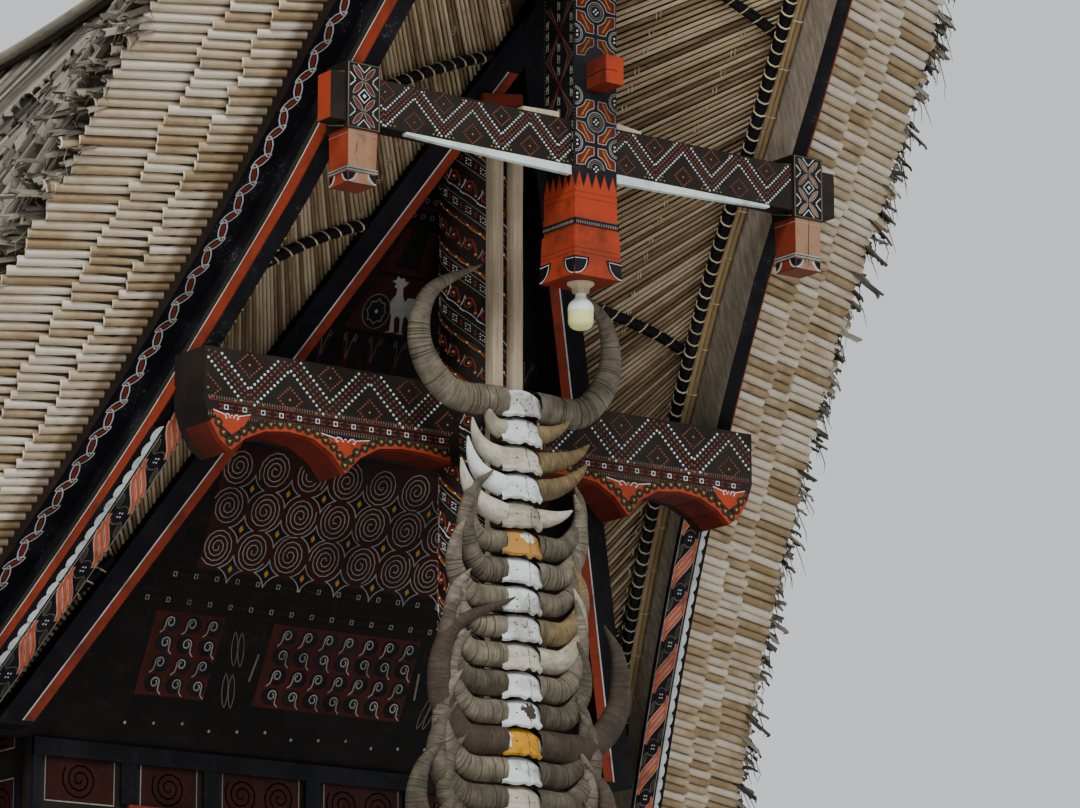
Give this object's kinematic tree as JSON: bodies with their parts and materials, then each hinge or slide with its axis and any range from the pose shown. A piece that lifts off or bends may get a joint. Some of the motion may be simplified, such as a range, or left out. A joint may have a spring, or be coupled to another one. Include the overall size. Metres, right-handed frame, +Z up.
{
  "type": "tongkonan house",
  "caption": "Carved wooden house on piles with a saddle roof of layered bamboo, leaning gables, king posts and a stack of buffalo horns.",
  "frame": {"origin": "on the ground under the middle of the house", "axes": "+X to the right seen from the front, the front faces -Y, +Z up"},
  "size_m": [6.1084, 17.5108, 11.35],
  "materials": {
    "layered_bamboo": "weathered layered bamboo",
    "bamboo_slats": "dry bamboo slats",
    "horn": "weathered horn and bone",
    "bulb": "frosted bulb",
    "socket_plastic": "aged cream plastic",
    "bare_timber": "bare sawn wood",
    "weathered_timber": "weathered wood",
    "plain_timber": "plain wood",
    "red_painted_timber": "orange-red painted wood",
    "black_painted_timber": "black painted wood",
    "carved_timber": "carved wood painted black, red and white"
  },
  "bodies": {
    "root": {"left_pile_row": "weathered_timber", "middle_pile_row": "weathered_timber", "right_pile_row": "weathered_timber", "cross_tie_1": "weathered_timber", "cross_tie_2": "weathered_timber", "cross_tie_3": "weathered_timber", "cross_tie_4": "weathered_timber", "cross_tie_5": "weathered_timber", "floor_frame": "weathered_timber", "floor_deck": "plain_timber", "left_wall": "carved_timber", "right_wall": "carved_timber", "left_wall_plate": "plain_timber", "right_wall_plate": "plain_timber", "ridge_beam": "plain_timber", "left_roof": "layered_bamboo", "right_roof": "layered_bamboo", "front_gable_wall": "carved_timber", "front_wall": "carved_timber", "front_end_post": "carved_timber", "front_middle_beam": "black_painted_timber", "front_hanging_post": "red_painted_timber", "front_upper_beam": "carved_timber", "front_left_rafter": "black_painted_timber", "front_left_lower_beam": "carved_timber", "front_left_cap": "red_painted_timber", "front_left_barge_board": "black_painted_timber", "front_left_soffit": "bamboo_slats", "front_right_rafter": "black_painted_timber", "front_right_lower_beam": "carved_timber", "front_right_cap": "red_painted_timber", "front_right_barge_board": "black_painted_timber", "front_right_soffit": "bamboo_slats", "back_gable_wall": "carved_timber", "back_wall": "carved_timber", "back_end_post": "carved_timber", "back_middle_beam": "black_painted_timber", "back_hanging_post": "red_painted_timber", "back_upper_beam": "carved_timber", "back_left_rafter": "black_painted_timber", "back_left_lower_beam": "carved_timber", "back_left_cap": "red_painted_timber", "back_left_barge_board": "black_painted_timber", "back_left_soffit": "bamboo_slats", "back_right_rafter": "black_painted_timber", "back_right_lower_beam": "carved_timber", "back_right_cap": "red_painted_timber", "back_right_barge_board": "black_painted_timber", "back_right_soffit": "bamboo_slats", "left_horn_batten": "bare_timber", "right_horn_batten": "bare_timber", "buffalo_horns": "horn", "lamp_socket": "socket_plastic", "lamp_bulb": "bulb"}
  },
  "joints": []
}
